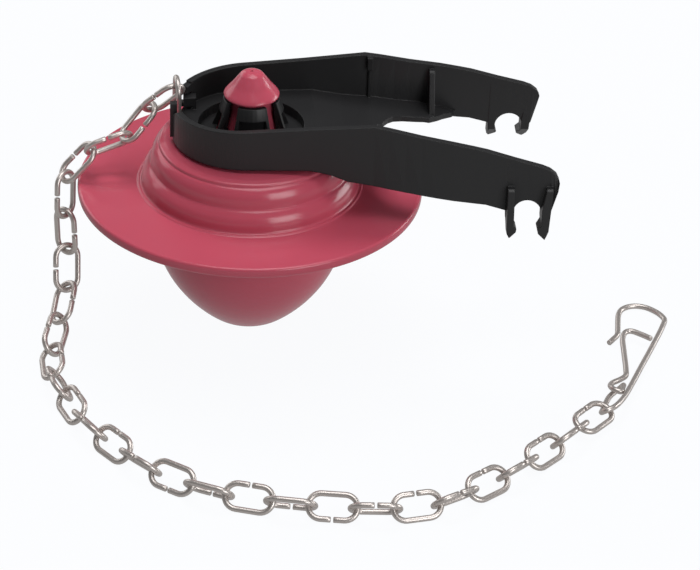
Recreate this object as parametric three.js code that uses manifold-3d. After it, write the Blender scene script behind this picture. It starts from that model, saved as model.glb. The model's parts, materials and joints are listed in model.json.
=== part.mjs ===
// Toilet flapper with its yoke, pull chain and snap hook.
// Millimetres. Origin: centre of the sealing disc's underside. +X towards the clips, +Z up.
import * as THREE from "three";
import { mergeVertices } from "three/addons/utils/BufferGeometryUtils.js";
import Module from "manifold-3d";

// ---- driving dimensions -------------------------------------------------
const DISC_R = 38; // sealing disc, for a 2 inch valve seat
const DISC_T = 2.3;
const BULB_R = 21.57;
const BULB_H = 32.6;
const BULB = [[0, 21.57], [4, 21.55], [8, 21.4], [12, 20.9], [16, 19.8], [20, 17.95], [24, 15.25], [27, 12.6], [29, 10.5], [30.3, 8.9], [31.3, 7.2], [32, 5.2], [32.45, 3], [BULB_H, 1.5]]; // depth, radius
const BULB_WALL = 2.2;
const DRAIN_R = 1.5;
const NOSE_X = -0.9; // centre of the yoke's round end
const NOSE_R = 16.3;
const WALL = 1.4;
const LEAN = [[26, 0], [38, 1.1], [65.7, 1.1]]; // x, how far the walls flare out at their lower edge
const PLAN = [[-0.9, 16.3], [12, 16.7], [25.8, 17.5], [43, 18.9], [50, 19.2], [56, 19.45], [65.7, 19.9]]; // x, half width
const TOP = [[-20, 21.7], [25.8, 25.0], [29, 24.4], [36, 22.85], [43, 21.55], [47.4, 20.6], [50, 20.0], [56, 18.15], [62, 16.45], [63.8, 15.7], [65.1, 14.6], [65.7, 13.3]];
const BOTTOM = [[-20, 13.85], [12, 14.1], [16.4, 13.2], [20.3, 11.65], [28.2, 10.36], [36.3, 9.3], [44, 8.25], [50, 7.6], [54.35, 6.3], [54.5, 3.5], [63.7, 4.2], [65.6, 11.5], [65.7, 13.2]];
const FLOOR_TOP = [[-20, 16.7], [14, 16.7], [20.6, 15.3], [27, 14.6], [33.8, 13.0], [39, 12.1], [45.7, 10.0], [48, 9.3]];
const FLOOR_T = 1.3;
const RECESS_R = 11.6;
const RECESS_TOP = 14.4;
const RECESS_BOTTOM = 13.3;
const PEG_SLOT_X = 59.05; // slots for 1/4 inch pegs
const PEG_SLOT_Z = 5.65;
const PEG_SLOT_R = 3.05;
const LINK_L = 11.5; // outer length and width of a link, and its wire
const LINK_W = 6.6;
const WIRE_R = 0.625;
const HOOK_WIRE_R = 0.62;

// Points where neighbouring links cross, from the yoke's nose to the hook.
const JOINTS = [
  [-16.27, 5.82, 22.19], [-21.94, 7.8, 16.39], [-27.16, 4.68, 10.81], [-35.11, 3.07, 8.44], [-40.68, 2.56, 2.22],
  [-40.91, 0.81, -6.27], [-40.61, -0.34, -14.97], [-40.68, -3.33, -22.84], [-42.09, -11.05, -26.7], [-44.07, -19.13, -29.41],
  [-43.26, -27.82, -30.02], [-40.85, -36.23, -29.93], [-37.54, -44.33, -30.04], [-33.01, -51.83, -29.98], [-27.65, -58.74, -30.01],
  [-21.55, -65.02, -30.07], [-14.47, -70.16, -30.06], [-6.56, -73.91, -30.05], [1.84, -76.39, -30.05], [10.44, -78.02, -30.05],
  [19.11, -79.2, -30.05], [27.86, -79.58, -30.05], [36.43, -77.83, -30.08], [44.05, -73.53, -30.04], [51.03, -68.23, -30.06],
  [57.66, -62.51, -30.01], [63.89, -56.36, -30.05], [69.82, -49.92, -30.04], [75.75, -43.48, -30.1],
];
const FIRST = [[-16.15, 8.16, 16.21], [-16.02, 4.18, 24.0]]; // ends of the link that hangs at the nose
// Turn of each link about its own length, degrees.
const ROLLS = [95, 41, 5, 54, 163, 122, 58, 153, 36, 125, 40, 130, 50, 130, 50, 130, 50, 130, 50, 130, 45, 130, 50, 130, 40, 130, 40, 130, 20];

// ---- helpers --------------------------------------------------------------
const wasm = await Module();
wasm.setup();

function table(rows, x) {
  if (x <= rows[0][0]) return rows[0][1];
  for (let i = 1; i < rows.length; i++)
    if (x <= rows[i][0]) {
      const t = (x - rows[i - 1][0]) / (rows[i][0] - rows[i - 1][0]);
      return rows[i - 1][1] + t * (rows[i][1] - rows[i - 1][1]);
    }
  return rows[rows.length - 1][1];
}

function solid(geometry) {
  const plain = new THREE.BufferGeometry().setAttribute("position", geometry.getAttribute("position").clone());
  if (geometry.index) plain.setIndex(geometry.index.clone());
  const m = mergeVertices(plain, 1e-4);
  const src = m.index.array;
  const p = m.getAttribute("position");
  const keep = [];
  let volume = 0;
  const a = new THREE.Vector3();
  const b = new THREE.Vector3();
  const c = new THREE.Vector3();
  for (let i = 0; i < src.length; i += 3) {
    const [u, v, w] = [src[i], src[i + 1], src[i + 2]];
    if (u === v || v === w || u === w) continue;
    keep.push(u, v, w);
    volume += a.fromBufferAttribute(p, u).dot(b.fromBufferAttribute(p, v).cross(c.fromBufferAttribute(p, w)));
  }
  if (volume < 0)
    for (let i = 0; i < keep.length; i += 3) [keep[i + 1], keep[i + 2]] = [keep[i + 2], keep[i + 1]];
  return new wasm.Manifold(
    new wasm.Mesh({ numProp: 3, vertProperties: new Float32Array(p.array), triVerts: new Uint32Array(keep) }),
  );
}

function geometryOf(s) {
  const m = s.getMesh();
  const v = new Float32Array(m.numVert * 3);
  for (let i = 0; i < m.numVert; i++) v.set(m.vertProperties.subarray(i * m.numProp, i * m.numProp + 3), i * 3);
  return new THREE.BufferGeometry().setAttribute("position", new THREE.BufferAttribute(v, 3)).setIndex(new THREE.BufferAttribute(m.triVerts.slice(), 1));
}

// A solid of four-cornered sections joined one after the next.
function loft(sections) {
  const v = [];
  const idx = [];
  const n = sections[0].length;
  for (const s of sections) for (const q of s) v.push(...q);
  for (let i = 0; i + 1 < sections.length; i++)
    for (let j = 0; j < n; j++) {
      const a = i * n + j;
      const b = i * n + ((j + 1) % n);
      idx.push(a, b, b + n, a, b + n, a + n);
    }
  const last = (sections.length - 1) * n;
  for (let j = 1; j + 1 < n; j++) {
    idx.push(0, j + 1, j);
    idx.push(last, last + j, last + j + 1);
  }
  return solid(new THREE.BufferGeometry().setAttribute("position", new THREE.BufferAttribute(new Float32Array(v), 3)).setIndex(idx));
}

function lathe(points, segments) {
  const g = new THREE.LatheGeometry(points.map(([r, z]) => new THREE.Vector2(r, z)), segments);
  return solid(g.rotateX(Math.PI / 2));
}

// Outline in x and y, between two heights.
function prism(points, z0, z1) {
  const g = new THREE.ExtrudeGeometry(new THREE.Shape(points.map(([x, y]) => new THREE.Vector2(x, y))), { depth: z1 - z0, bevelEnabled: false });
  return solid(g.translate(0, 0, z0));
}

// Outline in x and z, between two values of y.
function prismXZ(points, y0, y1) {
  const g = new THREE.ExtrudeGeometry(new THREE.Shape(points.map(([x, z]) => new THREE.Vector2(x, z))), { depth: y1 - y0, bevelEnabled: false });
  return solid(g.rotateX(Math.PI / 2).translate(0, y1, 0));
}

// Outline in y and z, between two values of x.
function prismYZ(points, x0, x1) {
  const g = new THREE.ExtrudeGeometry(new THREE.Shape(points.map(([y, z]) => new THREE.Vector2(y, z))), { depth: x1 - x0, bevelEnabled: false });
  return solid(g.rotateX(Math.PI / 2).rotateZ(Math.PI / 2).translate(x0, 0, 0));
}

const box = (x0, x1, y0, y1, z0, z1) => prism([[x0, y0], [x1, y0], [x1, y1], [x0, y1]], z0, z1);

function circle(r, n) {
  const s = new THREE.Shape();
  for (let i = 0; i < n; i++) {
    const a = (2 * Math.PI * (i + 0.5)) / n;
    if (i) s.lineTo(r * Math.cos(a), r * Math.sin(a));
    else s.moveTo(r * Math.cos(a), r * Math.sin(a));
  }
  s.closePath();
  return s;
}

class Route extends THREE.Curve {
  constructor(points) {
    super();
    this.points = points;
    this.at = [0];
    for (let i = 1; i < points.length; i++) this.at.push(this.at[i - 1] + points[i].distanceTo(points[i - 1]));
  }
  getPoint(t, out = new THREE.Vector3()) {
    const s = t * this.at[this.at.length - 1];
    let i = 1;
    while (i < this.points.length - 1 && this.at[i] < s) i++;
    return out.lerpVectors(this.points[i - 1], this.points[i], (s - this.at[i - 1]) / (this.at[i] - this.at[i - 1]));
  }
}

function wire(curve, r, steps, sides) {
  return new THREE.ExtrudeGeometry(circle(r, sides), { steps, extrudePath: curve, bevelEnabled: false });
}

// ---- seal: bulb, disc, stepped dome, neck and cone ---------------------------
function sealProfile() {
  const outer = BULB.slice(1).reverse().map(([d, r]) => [r, -d]);
  const inner = [1.5, 7, 13, 18, 22, 25.5, 28, 30].map((d) => [table(BULB, d) - BULB_WALL, (-d * (BULB_H - BULB_WALL)) / BULB_H]);
  return [
    [0, 10.2], [12.5, 10.0], [17.2, 8.6], [18.6, 6.5], ...inner, [DRAIN_R, -BULB_H + BULB_WALL], ...outer,
    [BULB_R + 0.1, -0.5], [BULB_R + 0.5, -0.1], [23.2, 0], [37.2, 0], [37.8, 0.3], [DISC_R, 0.9], [DISC_R, 1.5], [37.8, 2.05], [37.3, DISC_T],
    [25.0, DISC_T], [24.6, 2.58], [24.1, 2.72], [23.9, 3.2], [23.88, 3.9], [23.7, 4.6], [23.48, 5.2], [23.17, 5.8], [22.74, 6.4], [22.2, 6.95],
    [21.95, 7.3], [21.93, 8.0], [21.85, 8.8], [21.65, 9.7], [21.3, 10.6], [20.85, 11.25], [20.25, 11.7], [20.1, 12.1], [19.8, 12.55], [18.8, 12.9], [17.2, 13.05], [14.2, 13.3], [13.4, 12.9],
    [6.6, 12.9], [6.0, 13.6], [5.9, 15.5], [5.3, 18.2], [4.7, 21.0], [4.7, 23.7],
    [5.9, 23.75], [6.08, 24.1], [5.85, 24.6], [4.3, 26.45], [2.9, 28.35], [2.4, 28.95], [1.7, 29.35], [0.9, 29.56], [0.32, 29.6], [0.32, 28.0], [0, 28.0],
  ];
}

// ---- frame: yoke --------------------------------------------------------------
// One side wall from angle a0 of the nose round to the clips; side is -1 (near) or +1 (far).
function sideWall(side, a0) {
  const sections = [];
  const add = (ox, oy, ix, iy, x) => {
    const turn = (Math.asin(Math.min(1, oy / NOSE_R)) * 180) / Math.PI;
    const t = side < 0 && x < NOSE_X ? Math.min(table(TOP, x), 18.2 + 0.22 * turn) : table(TOP, x);
    const [b, l] = [table(BOTTOM, x), table(LEAN, x)];
    sections.push([[ox, side * (oy + l), b], [ix, side * (iy + l), b], [ix, side * iy, t], [ox, side * oy, t]]);
  };
  const steps = 22;
  for (let i = 0; i <= steps; i++) {
    const a = Math.PI - a0 + ((Math.PI / 2 - (Math.PI - a0)) * i) / steps;
    const [c, s] = [Math.cos(a), Math.sin(a)];
    add(NOSE_X + NOSE_R * c, NOSE_R * s, NOSE_X + (NOSE_R - WALL) * c, (NOSE_R - WALL) * s, NOSE_X + NOSE_R * c);
  }
  for (const x of [4, 8, 12, 14.2, 16.4, 18.3, 20.3, 23, 25.8, 29, 32.5, 36, 39.5, 43, 47.4, 50, 54.35, 54.5, 56, 59, 62, 63.7, 64.5, 65.1, 65.5, 65.7]) {
    const y = table(PLAN, x);
    add(x, y, x, y - WALL, x);
  }
  return loft(sections);
}

function floorPlate() {
  const sections = [];
  const inner = (x) => {
    if (x < NOSE_X) return Math.sqrt(Math.max(0.01, (NOSE_R - 0.6) ** 2 - (x - NOSE_X) ** 2));
    return table(PLAN, x) - 0.6;
  };
  for (const x of [-16.55, -16.2, -15.6, -14.6, -13, -11, -8, -4, 0, 4, 8, 12, 14, 17, 20.6, 24, 27, 30.4, 33.8, 36.4, 39, 42, 45.7, 46.9]) {
    const h = inner(x);
    const t = table(FLOOR_TOP, x);
    sections.push([[x, -h, t - FLOOR_T], [x, h, t - FLOOR_T], [x, h, t], [x, -h, t]]);
  }
  return loft(sections);
}

function frameSolid() {
  let f = sideWall(-1, 0.03).add(sideWall(1, (36.5 * Math.PI) / 180)).add(floorPlate());
  // recess round the hub
  const round = [];
  for (let i = 0; i < 40; i++) round.push([(RECESS_R + 0.5) * Math.cos((i * Math.PI) / 20), (RECESS_R + 0.5) * Math.sin((i * Math.PI) / 20)]);
  f = f.subtract(prism(round, 12, 17.5));
  f = f.add(lathe([[7.9, RECESS_BOTTOM], [12.8, RECESS_BOTTOM], [12.8, 16.7], [RECESS_R, 16.7], [RECESS_R, RECESS_TOP], [7.9, RECESS_TOP], [7.9, RECESS_BOTTOM]], 40));
  // finger collar
  let collar = lathe([[7.9, RECESS_BOTTOM], [9.3, RECESS_BOTTOM], [9.3, RECESS_TOP], [8.2, 17.2], [7.1, 20.4], [6.1, 23.2], [5.15, 23.2], [6.1, 20.2], [7.2, 17.0], [7.9, RECESS_TOP], [7.9, RECESS_BOTTOM]], 40);
  const wedge = (turn, lo, hi, z0, z1) => {
    const pts = [[1, 0]];
    for (let i = 0; i <= 4; i++) {
      const a = turn + ((lo + ((hi - lo) * i) / 4) * Math.PI) / 180;
      pts.push([11 * Math.cos(a), 11 * Math.sin(a)]);
    }
    pts[0] = [0.5 * Math.cos(turn + ((lo + hi) / 2 / 180) * Math.PI), 0.5 * Math.sin(turn + ((lo + hi) / 2 / 180) * Math.PI)];
    return prism(pts, z0, z1);
  };
  for (let q = 0; q < 4; q++) collar = collar.subtract(wedge((q * Math.PI) / 2, -25, 25, RECESS_TOP, 20.5));
  // inner blade of each finger, seen through its window
  collar = collar.add(lathe([[6.3, 14.6], [6.8, 14.6], [6.6, 18.0], [6.35, 20.2], [5.95, 21.4], [5.4, 21.4], [5.75, 19.8], [6.05, 17.5], [6.3, 14.6]], 40));
  for (let q = 0; q < 4; q++) collar = collar.subtract(wedge((q * Math.PI) / 2, 30, 60, RECESS_TOP, 24));
  f = f.add(collar);
  // opening at the back of the floor, between the arms
  const cut = [[28, 0], [28.5, 2.6], [29.5, 5.5], [30.6, 7.3], [31.8, 8.6], [33.9, 9.7], [37.2, 10.4], [40.2, 11.2], [42.1, 13.1], [50, 13.1], [50, -13.1], [42.1, -13.1], [40.2, -11.2], [37.2, -10.4], [33.9, -9.7], [31.8, -8.6], [30.6, -7.3], [29.5, -5.5], [28.5, -2.6]];
  f = f.subtract(prism(cut, 4, 20));
  for (const s of [-1, 1]) f = f.subtract(prism([[42, 12.9], [42.1, 13.1], [43.6, 14.9], [44.8, 16.1], [45.8, 17.1], [46.5, 18.25], [50, 18.25], [50, 12.9]].map(([x, y]) => [x, s * y]), 4, 12));
  // ribs inside both walls
  for (const s of [-1, 1]) {
    const rib = (x0, x1, depth, z0, z1) => {
      const y = table(PLAN, (x0 + x1) / 2) - WALL;
      const [a, b] = [s * (y - depth), s * (y + 1.3)];
      return box(x0, x1, Math.min(a, b), Math.max(a, b), z0, z1);
    };
    f = f.add(rib(26.3, 27.5, 1.2, 21.6, 24.6)).add(rib(26.6, 27.2, 0.7, 14.0, 22.0));
    f = f.add(prismYZ([[18.6, 10.4], [12.75, 10.4], [12.75, 11.8], [16.0, 20.4], [16.4, 20.8], [18.2, 20.8]].map(([y, z]) => [s * y, z]), 40.3, 41.6));
    // peg slot through the wall, then its two prongs
    const arch = [];
    for (let i = 0; i <= 14; i++) {
      const a = (Math.PI * i) / 14;
      arch.push([PEG_SLOT_X + PEG_SLOT_R * Math.cos(a), PEG_SLOT_Z + PEG_SLOT_R * Math.sin(a)]);
    }
    const [y0, y1] = s < 0 ? [-21.5, -16.5] : [16.5, 21.5];
    f = f.subtract(prismXZ([...arch, [PEG_SLOT_X - PEG_SLOT_R, 2], [PEG_SLOT_X + PEG_SLOT_R, 2]], y0, y1));
    f = f.subtract(prismXZ([[54.3, 2], [56.4, 2], [56.4, 6.2], [54.3, 3.9]], y0, y1)).subtract(prismXZ([[62, 2], [64.6, 2], [64.6, 6.2], [63.2, 5.6], [62, 5.6]], y0, y1));
    const side = (pts) => pts.map(([y, z]) => [s * y, z]);
    const web = side([[18.9, 8.5], [18.9, 4.6], [22.4, 1.3], [23.7, 0.3], [23.7, 1.6], [21.9, 11.6], [21.4, 12.0], [19.4, 12.0]]);
    const left = prismXZ([[54.5, 12.0], [54.5, 2.2], [55.05, 1.2], [56.5, 2.6], [56.6, 3.3], [56.0, 4.0], [56.0, 12.0]], ...(s < 0 ? [-25, -17] : [17, 25]));
    const right = prismXZ([[63.0, 12.2], [62.0, 7.0], [62.0, 4.0], [61.1, 3.1], [61.3, 2.2], [62.8, 0.7], [63.6, 2.6], [64.4, 12.2]], ...(s < 0 ? [-25, -17] : [17, 25]));
    f = f.add(left.intersect(prismYZ(web, 54, 57))).add(right.intersect(prismYZ(web, 60.5, 65)));
  }
  // chain bar at the nose, standing clear of the wall on its own leg, with the gap that the first link hangs in
  f = f.subtract(box(-18.5, -14.35, -0.2, 10.4, 16.6, 24.5)).subtract(box(-18.5, -15.15, -0.2, 10.4, 12, 17));
  f = f.add(box(-16.3, -14.4, 7.4, 8.9, 16.8, 17.8)).add(box(-14.7, -11.9, 6.2, 8.5, 17.4, 19.5)).add(box(-12.7, -11.9, 6.2, 8.5, 15.8, 19.2)).add(box(-17.7, -16.2, -2.0, -0.5, 14.4, 22.5));
  const tip = [];
  for (let i = 0; i <= 3; i++) {
    const a = ((150.6 - 3 * i) * Math.PI) / 180;
    const [c, n, r] = [Math.cos(a), Math.sin(a), NOSE_R - WALL];
    tip.push([[NOSE_X + NOSE_R * c, NOSE_R * n, 19.8], [NOSE_X + r * c, r * n, 19.8], [NOSE_X + r * c, r * n, 21.7], [NOSE_X + NOSE_R * c, NOSE_R * n, 21.7]]);
  }
  f = f.add(loft(tip));
  return f;
}

// ---- chain link -----------------------------------------------------------------
function linkGeometry(i) {
  const a = new THREE.Vector3(...(i ? JOINTS[i - 1] : FIRST[0]));
  const b = new THREE.Vector3(...(i ? JOINTS[i] : FIRST[1]));
  const d = b.clone().sub(a).normalize();
  const h = new THREE.Vector3(0, 0, 1).cross(d).normalize();
  const v = d.clone().cross(h);
  const roll = (ROLLS[i] * Math.PI) / 180;
  const w = h.multiplyScalar(Math.cos(roll)).addScaledVector(v, Math.sin(roll));
  const c = a.add(b).multiplyScalar(0.5);
  const half = LINK_L / 2 - LINK_W / 2;
  const r = LINK_W / 2 - WIRE_R;
  const gap = 0.15; // half of the open butt, at the middle of one side
  const flat = [[gap, r], [half, r]];
  for (let k = 1; k <= 6; k++) flat.push([half + r * Math.sin((Math.PI * k) / 6), r * Math.cos((Math.PI * k) / 6)]);
  for (let k = 0; k <= 6; k++) flat.push([-half - r * Math.sin((Math.PI * k) / 6), -r * Math.cos((Math.PI * k) / 6)]);
  flat.push([-gap, r]);
  const points = flat.map(([x, y]) => c.clone().addScaledVector(d, x).addScaledVector(w, y));
  return wire(new Route(points), WIRE_R, 20, 6);
}

// ---- snap hook: one bent wire, lying on the surface, its loop through the last link --------
const HOOK = [
  [80.53, -14.28, -31.95], [81.8, -12.58, -31.95], [82.83, -10.99, -31.95], [83.31, -8.49, -31.95], [83.8, -5.0, -31.95], [84.3, -2.36, -31.95],
  [85.2, -0.38, -31.95], [86.67, 0.8, -31.95], [88.64, 1.23, -31.95], [90.93, 0.57, -31.95], [93.03, -1.36, -31.95], [94.09, -3.14, -31.95],
  [94.5, -4.69, -31.95], [93.7, -7.38, -31.9], [90.59, -14.94, -31.75], [86.29, -25.2, -31.1], [82.74, -33.88, -30.4], [80.29, -39.72, -29.6],
  [78.4, -43.32, -29.0], [77.07, -45.04, -28.75], [75.74, -45.61, -29.0], [74.93, -44.54, -30.2], [75.43, -41.94, -31.6], [76.78, -38.14, -31.97],
  [77.78, -35.96, -31.95], [79.17, -34.14, -31.95], [80.77, -32.4, -31.9], [81.35, -32.0, -31.6], [80.77, -34.41, -30.7], [79.99, -37.04, -29.9],
  [78.68, -36.5, -29.7], [78.1, -34.31, -30.2], [78.96, -32.03, -30.9], [81.04, -30.01, -31.3], [82.28, -28.67, -31.3], [82.72, -26.09, -31.3],
  [83.13, -19.84, -31.0], [83.57, -14.21, -30.5], [84.55, -12.14, -30.4], [85.77, -11.81, -30.4], [87.91, -13.27, -30.4], [89.87, -15.14, -30.35],
];

const group = new THREE.Group();
const colour = { rubber: 0xb84c5c, plastic: 0x2e2e31, steel: 0xaaa49e };
function add(name, geometry, slot, metal, rough) {
  const mesh = new THREE.Mesh(geometry, new THREE.MeshStandardMaterial({ name: slot, color: colour[slot], metalness: metal, roughness: rough }));
  mesh.name = name;
  group.add(mesh);
}

add("frame", geometryOf(frameSolid()), "plastic", 0, 0.45);
add("seal", geometryOf(lathe(sealProfile(), 48)), "rubber", 0, 0.3);
for (let i = 0; i < JOINTS.length; i++) add("chain_link_" + String(i + 1).padStart(2, "0"), linkGeometry(i), "steel", 1, 0.3);
add("snap_hook", wire(new THREE.CatmullRomCurve3(HOOK.map((q) => new THREE.Vector3(...q)), false, "centripetal"), HOOK_WIRE_R, 150, 6), "steel", 1, 0.3);

export default group;
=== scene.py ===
# A toilet flapper lying on a pale floor, with its pull chain laid out in front of it.
import json
import math

import bpy
import numpy as np
from mathutils import Matrix, Vector

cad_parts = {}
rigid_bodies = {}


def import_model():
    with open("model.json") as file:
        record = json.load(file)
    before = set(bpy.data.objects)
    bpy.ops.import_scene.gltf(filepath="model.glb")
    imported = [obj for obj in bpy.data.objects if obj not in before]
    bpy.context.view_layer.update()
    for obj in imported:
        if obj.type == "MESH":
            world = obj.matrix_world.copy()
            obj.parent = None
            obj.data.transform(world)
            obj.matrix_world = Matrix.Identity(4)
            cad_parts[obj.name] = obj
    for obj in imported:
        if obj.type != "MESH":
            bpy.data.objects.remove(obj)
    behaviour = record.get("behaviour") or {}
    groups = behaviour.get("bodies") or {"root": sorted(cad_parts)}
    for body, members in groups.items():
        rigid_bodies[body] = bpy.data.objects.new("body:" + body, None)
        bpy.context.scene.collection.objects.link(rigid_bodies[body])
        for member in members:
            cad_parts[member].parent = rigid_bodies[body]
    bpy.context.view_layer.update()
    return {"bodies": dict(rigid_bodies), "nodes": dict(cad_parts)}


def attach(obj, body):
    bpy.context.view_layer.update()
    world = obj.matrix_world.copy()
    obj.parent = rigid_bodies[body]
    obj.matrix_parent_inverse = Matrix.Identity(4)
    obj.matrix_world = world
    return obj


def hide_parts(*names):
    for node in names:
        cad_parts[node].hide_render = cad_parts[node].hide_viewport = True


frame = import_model()
BODY = list(frame["bodies"])[0]
MM = 0.001
FLOOR_Z = -32.6

# ---------------------------------------------------------------- camera
AZ, EL, ROLL = -4.58462225, 31.62219314, 2.07139195
PX_MM, DIST, TX, TY = 4.52027291, 700.0, 22.11604446, -21.18656274
a, e, ro = map(math.radians, (AZ, EL, ROLL))
r0 = Vector((math.cos(a), math.sin(a), 0))
back = Vector((math.sin(a) * math.cos(e), -math.cos(a) * math.cos(e), math.sin(e)))
u0 = back.cross(r0)
right = math.cos(ro) * r0 + math.sin(ro) * u0
up = -math.sin(ro) * r0 + math.cos(ro) * u0
eye = TX * right + TY * up + DIST * back
cam_data = bpy.data.cameras.new("camera")
cam_data.sensor_fit = "HORIZONTAL"
cam_data.sensor_width = 36.0
cam_data.lens = PX_MM * DIST * 36.0 / 700.0
cam_data.clip_start = 0.01
cam_data.clip_end = 50.0
cam = bpy.data.objects.new("camera", cam_data)
rot = Matrix((right, up, back)).transposed().to_4x4()
cam.matrix_world = Matrix.Translation(eye * MM) @ rot
bpy.context.scene.collection.objects.link(cam)
bpy.context.scene.camera = cam


# ---------------------------------------------------------------- materials
def material(name):
    m = bpy.data.materials.new(name)
    m.use_nodes = True
    return m, m.node_tree, m.node_tree.nodes["Principled BSDF"]


def noise_bump(tree, bsdf, scale, strength, distance, detail=4.0, normal=None):
    tex = tree.nodes.new("ShaderNodeTexNoise")
    tex.inputs["Scale"].default_value = scale
    tex.inputs["Detail"].default_value = detail
    coord = tree.nodes.new("ShaderNodeTexCoord")
    bump = tree.nodes.new("ShaderNodeBump")
    bump.inputs["Strength"].default_value = strength
    bump.inputs["Distance"].default_value = distance
    tree.links.new(coord.outputs["Object"], tex.inputs["Vector"])
    tree.links.new(tex.outputs["Fac"], bump.inputs["Height"])
    if normal is not None:
        tree.links.new(normal, bump.inputs["Normal"])
    tree.links.new(bump.outputs["Normal"], bsdf.inputs["Normal"])
    return tex


rubber, rt, rb = material("rubber_red")
rb.inputs["Base Color"].default_value = (0.49, 0.076, 0.118, 1)
rb.inputs["Roughness"].default_value = 0.2
rb.inputs["IOR"].default_value = 1.5
rb.inputs["Specular IOR Level"].default_value = 0.5
rb.inputs["Subsurface Weight"].default_value = 0.12
rb.inputs["Subsurface Radius"].default_value = (1.0, 0.25, 0.2)
rb.inputs["Subsurface Scale"].default_value = 0.0012
noise_bump(rt, rb, 60.0, 0.06, 0.0002)

plastic, pt, pb = material("plastic_black")
pb.inputs["Base Color"].default_value = (0.019, 0.019, 0.0200, 1)
pb.inputs["Specular IOR Level"].default_value = 0.34
pb.inputs["Roughness"].default_value = 0.36
pb.inputs["IOR"].default_value = 1.5
bevel = pt.nodes.new("ShaderNodeBevel")
bevel.samples = 6
bevel.inputs["Radius"].default_value = 0.00035
noise_bump(pt, pb, 350.0, 0.05, 0.0001, 3.0, bevel.outputs["Normal"])

steel, st, sb = material("steel_wire")
sb.inputs["Base Color"].default_value = (0.62, 0.57, 0.54, 1)
sb.inputs["Metallic"].default_value = 0.75
sb.inputs["Roughness"].default_value = 0.34
noise_bump(st, sb, 900.0, 0.12, 0.0001)

floor_mat, ft, fb = material("floor")
ft.nodes.remove(fb)
out = ft.nodes["Material Output"]
emit = ft.nodes.new("ShaderNodeEmission")
emit.inputs["Color"].default_value = (0.975, 0.984, 1.0, 1)
emit.inputs["Strength"].default_value = 0.965
diff = ft.nodes.new("ShaderNodeBsdfDiffuse")
diff.inputs["Color"].default_value = (0.03, 0.03, 0.03, 1)
addn = ft.nodes.new("ShaderNodeAddShader")
ft.links.new(emit.outputs[0], addn.inputs[0])
ft.links.new(diff.outputs[0], addn.inputs[1])
ft.links.new(addn.outputs[0], out.inputs["Surface"])


# ---------------------------------------------------------------- mesh helpers
def mesh_object(name, verts, faces, mat, smooth=True):
    me = bpy.data.meshes.new(name)
    me.from_pydata([tuple(v) for v in verts], [], faces)
    me.materials.append(mat)
    me.validate()
    if smooth:
        me.polygons.foreach_set("use_smooth", [True] * len(me.polygons))
    ob = bpy.data.objects.new(name, me)
    bpy.context.scene.collection.objects.link(ob)
    return ob


def spline(points, per):
    """Centripetal Catmull-Rom through the points, with per steps between two."""
    p = np.array(points, float)
    p = np.vstack([2 * p[0] - p[1], p, 2 * p[-1] - p[-2]])
    res = []
    for i in range(1, len(p) - 2):
        q = p[i - 1 : i + 3]
        t = [0.0]
        for k in range(3):
            t.append(t[-1] + max(1e-6, float(np.linalg.norm(q[k + 1] - q[k]))) ** 0.5)
        for k in range(per):
            s = t[1] + (t[2] - t[1]) * k / per
            a1 = (t[1] - s) / (t[1] - t[0]) * q[0] + (s - t[0]) / (t[1] - t[0]) * q[1]
            a2 = (t[2] - s) / (t[2] - t[1]) * q[1] + (s - t[1]) / (t[2] - t[1]) * q[2]
            a3 = (t[3] - s) / (t[3] - t[2]) * q[2] + (s - t[2]) / (t[3] - t[2]) * q[3]
            b1 = (t[2] - s) / (t[2] - t[0]) * a1 + (s - t[0]) / (t[2] - t[0]) * a2
            b2 = (t[3] - s) / (t[3] - t[1]) * a2 + (s - t[1]) / (t[3] - t[1]) * a3
            res.append((t[2] - s) / (t[2] - t[1]) * b1 + (s - t[1]) / (t[2] - t[1]) * b2)
    res.append(p[-2])
    return np.array(res)


def tube(name, path, radius, sides, mat):
    """A round wire along an open path, with slightly rounded ends. Millimetres in, metres out."""
    path = np.array(path, float)
    n = len(path)
    tan = np.gradient(path, axis=0)
    tan /= np.linalg.norm(tan, axis=1)[:, None]
    ref = np.array([0, 0, 1.0]) if abs(tan[0][2]) < 0.9 else np.array([1.0, 0, 0])
    nrm = ref - tan[0] * ref.dot(tan[0])
    nrm /= np.linalg.norm(nrm)
    frames = []
    for i in range(n):
        nrm = nrm - tan[i] * nrm.dot(tan[i])
        nrm /= np.linalg.norm(nrm)
        frames.append((nrm.copy(), np.cross(tan[i], nrm)))
    rings = [(path[0] - tan[0] * 0.0, 0.8, 0)] + [(path[0] + tan[0] * 0.12, 1.0, 0)]
    rings += [(path[i], 1.0, i) for i in range(1, n - 1)]
    rings += [(path[-1] - tan[-1] * 0.12, 1.0, n - 1), (path[-1], 0.8, n - 1)]
    verts, faces = [], []
    ang = np.linspace(0, 2 * math.pi, sides, endpoint=False)
    for c, k, i in rings:
        u, v = frames[i]
        for t in ang:
            verts.append((c + radius * k * (math.cos(t) * u + math.sin(t) * v)) * MM)
    m = len(rings)
    for i in range(m - 1):
        for j in range(sides):
            j2 = (j + 1) % sides
            faces.append((i * sides + j, i * sides + j2, (i + 1) * sides + j2, (i + 1) * sides + j))
    faces.append(tuple(range(sides - 1, -1, -1)))
    faces.append(tuple((m - 1) * sides + j for j in range(sides)))
    return mesh_object(name, verts, faces, mat)


# ---------------------------------------------------------------- seal
BULB_R, BULB_H, BULB_WALL, DRAIN_R, DISC_R, DISC_T = 21.57, 32.6, 2.2, 1.5, 38.0, 2.3
BULB = [(0, 21.57), (4, 21.55), (8, 21.4), (12, 20.9), (16, 19.8), (20, 17.95), (24, 15.25), (27, 12.6), (29, 10.5), (30.3, 8.9), (31.3, 7.2), (32, 5.2), (32.45, 3), (32.6, 1.5)]  # depth, radius


def bulb(d):
    return float(np.interp(d, [q[0] for q in BULB], [q[1] for q in BULB]))


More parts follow.
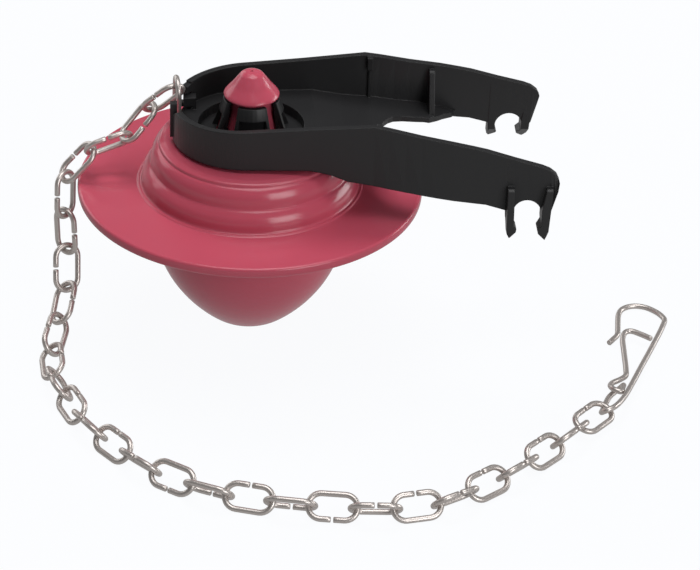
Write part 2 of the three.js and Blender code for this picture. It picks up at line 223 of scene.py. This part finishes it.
def lathe(name, runs, segments, mat):
    """Turns runs of profile points about Z; each run is smoothed, and runs meet at hard corners."""
    prof = []
    for pts, per in runs:
        s = spline(pts, per) if per > 1 else np.array(pts, float)
        s[:, 0] = np.maximum(s[:, 0], 0)
        prof += [tuple(q) for q in (s if not prof else s[1:])]
    verts, faces = [], []
    ring = []
    for r, z in prof:
        if r < 1e-6:
            ring.append([len(verts)] * segments)
            verts.append((0, 0, z * MM))
        else:
            ring.append(list(range(len(verts), len(verts) + segments)))
            for k in range(segments):
                t = 2 * math.pi * k / segments
                verts.append((r * math.cos(t) * MM, r * math.sin(t) * MM, z * MM))
    for i in range(len(prof) - 1):
        for k in range(segments):
            k2 = (k + 1) % segments
            q = [ring[i][k], ring[i][k2], ring[i + 1][k2], ring[i + 1][k]]
            q = list(dict.fromkeys(q))
            if len(q) > 2:
                faces.append(tuple(q))
    return mesh_object(name, verts, faces, mat)


outer = [(r, -d) for d, r in BULB[:0:-1]]
inner = [(bulb(d) - BULB_WALL, -d * (BULB_H - BULB_WALL) / BULB_H) for d in (1.5, 7, 13, 18, 22, 25.5, 28, 30)]
seal = lathe(
    "seal_skin",
    [
        ([(0, 10.2), (12.5, 10.0), (17.2, 8.6), (18.6, 6.5)] + inner + [(DRAIN_R, -BULB_H + BULB_WALL)], 1),
        (outer, 4),
        ([(21.55, -4), (21.58, -1), (BULB_R + 0.1, -0.5), (BULB_R + 0.5, -0.1), (23.2, 0)], 4),
        ([(23.2, 0), (37.0, 0)], 1),
        ([(37.0, 0), (37.5, 0.05), (37.85, 0.3), (38.0, 0.75), (38.0, 1.5), (37.87, 1.98), (37.55, 2.25), (37.1, 2.3)], 4),
        ([(37.1, 2.3), (25.2, 2.3)], 1),
        ([(25.2, 2.3), (24.95, 2.34), (24.78, 2.46), (24.66, 2.58), (24.5, 2.62), (24.3, 2.63), (24.1, 2.72), (23.96, 2.92), (23.9, 3.2)], 4),
        ([(23.9, 3.2), (23.9, 3.7), (23.87, 4.2), (23.76, 4.8), (23.56, 5.4), (23.3, 5.93), (22.95, 6.45), (22.52, 6.97), (22.18, 7.28), (21.99, 7.5)], 5),
        ([(21.99, 7.5), (21.95, 7.85), (21.9, 8.4), (21.82, 9.0), (21.69, 9.6), (21.5, 10.15), (21.2, 10.75), (20.85, 11.25), (20.5, 11.6), (20.22, 11.75), (20.12, 11.9)], 5),
        ([(20.12, 11.9), (20.1, 12.15), (20.02, 12.38), (19.8, 12.55), (19.3, 12.72), (18.8, 12.88)], 4),
        ([(18.8, 12.88), (17.0, 13.08), (14.2, 13.3)], 3),
        ([(14.2, 13.3), (13.4, 12.9), (6.6, 12.9)], 1),
        ([(6.6, 12.9), (6.05, 13.4), (5.9, 15.5), (5.3, 18.2), (4.75, 21.0), (4.7, 23.7)], 4),
        ([(4.7, 23.7), (5.8, 23.75)], 1),
        ([(5.8, 23.75), (6.02, 23.88), (6.08, 24.15), (5.85, 24.6), (5.1, 25.5), (4.3, 26.45), (3.5, 27.55), (2.9, 28.35), (2.4, 28.95), (1.7, 29.35), (0.9, 29.56), (0.4, 29.6)], 5),
        ([(0.4, 29.6), (0.28, 29.4), (0.26, 28.0), (0, 28.0)], 1),
    ],
    224,
    rubber,
)
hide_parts("seal")
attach(seal, BODY)

# ---------------------------------------------------------------- frame
yoke = frame["nodes"]["frame"]
yoke.data.materials.clear()
yoke.data.materials.append(plastic)
yoke.data.set_sharp_from_angle(angle=math.radians(24))

# ---------------------------------------------------------------- chain
FIRST = [[-16.15, 8.16, 16.21], [-16.02, 4.18, 24.0]]
JOINTS = [ [-16.27, 5.82, 22.19], [-21.94, 7.8, 16.39], [-27.16, 4.68, 10.81], [-35.11, 3.07, 8.44], [-40.68, 2.56, 2.22], [-40.91, 0.81, -6.27], [-40.61, -0.34, -14.97], [-40.68, -3.33, -22.84], [-42.09, -11.05, -26.7], [-44.07, -19.13, -29.41], [-43.26, -27.82, -30.02], [-40.85, -36.23, -29.93], [-37.54, -44.33, -30.04], [-33.01, -51.83, -29.98], [-27.65, -58.74, -30.01], [-21.55, -65.02, -30.07], [-14.47, -70.16, -30.06], [-6.56, -73.91, -30.05], [1.84, -76.39, -30.05], [10.44, -78.02, -30.05], [19.11, -79.2, -30.05], [27.86, -79.58, -30.05], [36.43, -77.83, -30.08], [44.05, -73.53, -30.04], [51.03, -68.23, -30.06], [57.66, -62.51, -30.01], [63.89, -56.36, -30.05], [69.82, -49.92, -30.04], [75.75, -43.48, -30.1], ]
ROLLS = [95, 41, 5, 54, 163, 122, 58, 153, 36, 125, 40, 130, 50, 130, 50, 130, 50, 130, 50, 130, 45, 130, 50, 130, 40, 130, 40, 130, 20]
LINK_L, LINK_W, WIRE_R = 11.5, 6.6, 0.625

GAP_BELOW = (16, 17, 19, 20)  # links whose open butt lies on their lower side


def link_path(i):
    p = np.array(JOINTS[i - 1] if i else FIRST[0])
    q = np.array(JOINTS[i] if i else FIRST[1])
    d = (q - p) / np.linalg.norm(q - p)
    h = np.cross([0, 0, 1.0], d)
    h /= np.linalg.norm(h)
    v = np.cross(d, h)
    t = math.radians(ROLLS[i])
    w = math.cos(t) * h + math.sin(t) * v
    half, r, gap = LINK_L / 2 - LINK_W / 2, LINK_W / 2 - WIRE_R, 0.27
    flat = [(gap, r), (half * 0.5, r), (half, r)]
    flat += [(half + r * math.sin(math.pi * k / 16), r * math.cos(math.pi * k / 16)) for k in range(1, 17)]
    flat += [(0, -r)]
    flat += [(-half - r * math.sin(math.pi * k / 16), -r * math.cos(math.pi * k / 16)) for k in range(0, 17)]
    flat += [(-half * 0.5, r), (-gap, r)]
    c = (p + q) / 2
    side = -1 if i in GAP_BELOW else 1
    return [c + x * d + side * y * w for x, y in flat]


for i in range(29):
    link = tube(f"link_wire_{i + 1:02d}", link_path(i), WIRE_R, 16, steel)
    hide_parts(f"chain_link_{i + 1:02d}")
    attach(link, BODY)

HOOK = [ [80.53, -14.28, -31.95], [81.8, -12.58, -31.95], [82.83, -10.99, -31.95], [83.31, -8.49, -31.95], [83.8, -5.0, -31.95], [84.3, -2.36, -31.95], [85.2, -0.38, -31.95], [86.67, 0.8, -31.95], [88.64, 1.23, -31.95], [90.93, 0.57, -31.95], [93.03, -1.36, -31.95], [94.09, -3.14, -31.95], [94.5, -4.69, -31.95], [93.7, -7.38, -31.9], [90.59, -14.94, -31.75], [86.29, -25.2, -31.1], [82.74, -33.88, -30.4], [80.29, -39.72, -29.6], [78.4, -43.32, -29.0], [77.07, -45.04, -28.75], [75.74, -45.61, -29.0], [74.93, -44.54, -30.2], [75.43, -41.94, -31.6], [76.78, -38.14, -31.97], [77.78, -35.96, -31.95], [79.17, -34.14, -31.95], [80.77, -32.4, -31.9], [81.35, -32.0, -31.6], [80.77, -34.41, -30.7], [79.99, -37.04, -29.9], [78.68, -36.5, -29.7], [78.1, -34.31, -30.2], [78.96, -32.03, -30.9], [81.04, -30.01, -31.3], [82.28, -28.67, -31.3], [82.72, -26.09, -31.3], [83.13, -19.84, -31.0], [83.57, -14.21, -30.5], [84.55, -12.14, -30.4], [85.77, -11.81, -30.4], [87.91, -13.27, -30.4], [89.87, -15.14, -30.35], ]
hook = tube("hook_wire", spline(HOOK, 8), 0.62, 16, steel)
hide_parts("snap_hook")
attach(hook, BODY)

# ---------------------------------------------------------------- floor and light
floor = mesh_object("floor", [(-3, -3, FLOOR_Z * MM), (3, -3, FLOOR_Z * MM), (3, 3, FLOOR_Z * MM), (-3, 3, FLOOR_Z * MM)], [(0, 1, 2, 3)], floor_mat, False)
floor.visible_diffuse = False
floor.visible_glossy = False

# light that the floor gives back to the undersides
glow_mat, gt, gb = material("floor_glow")
gt.nodes.remove(gb)
glow_emit = gt.nodes.new("ShaderNodeEmission")
glow_emit.inputs["Color"].default_value = (1, 1, 1, 1)
glow_emit.inputs["Strength"].default_value = 0.46
gt.links.new(glow_emit.outputs[0], gt.nodes["Material Output"].inputs["Surface"])
z = (FLOOR_Z - 1.0) * MM
glow = mesh_object("floor_glow", [(-3, -3, z), (3, -3, z), (3, 3, z), (-3, 3, z)], [(0, 1, 2, 3)], glow_mat, False)
glow.visible_camera = False

world = bpy.data.worlds.new("world")
bpy.context.scene.world = world
world.use_nodes = True
world.node_tree.nodes["Background"].inputs["Color"].default_value = (1, 1, 1, 1)
world.node_tree.nodes["Background"].inputs["Strength"].default_value = 0.12


def area(name, direction, distance, sx, sy, power, target=(10, -5, 5), glossy=True):
    d = Vector(direction).normalized()
    light = bpy.data.lights.new(name, "AREA")
    light.shape = "RECTANGLE"
    light.size, light.size_y = sx, sy
    light.energy = power
    ob = bpy.data.objects.new(name, light)
    pos = Vector(target) * MM + d * distance
    ob.location = pos
    ob.visible_glossy = glossy
    ob.rotation_euler = (-d).to_track_quat("-Z", "Y").to_euler()
    bpy.context.scene.collection.objects.link(ob)
    return ob


area("softbox_front", (0.515, -0.78, 0.30), 1.0, 0.5, 0.55, 3.7)
area("key_back", (-0.12, 0.62, 1.3), 1.3, 0.6, 0.45, 8.0, glossy=False)
area("fill_top", (0.1, -0.1, 1.0), 1.3, 1.0, 1.0, 9.5)
area("card_left", (-0.6, 0.7, 0.35), 1.0, 0.9, 0.5, 2.0)
area("card_right", (0.94, 0.30, 0.16), 1.0, 0.5, 0.3, 2.2)

scene = bpy.context.scene
scene.view_settings.view_transform = "Standard"
scene.view_settings.look = "None"
scene.view_settings.exposure = 0.0
scene.view_settings.gamma = 1.0
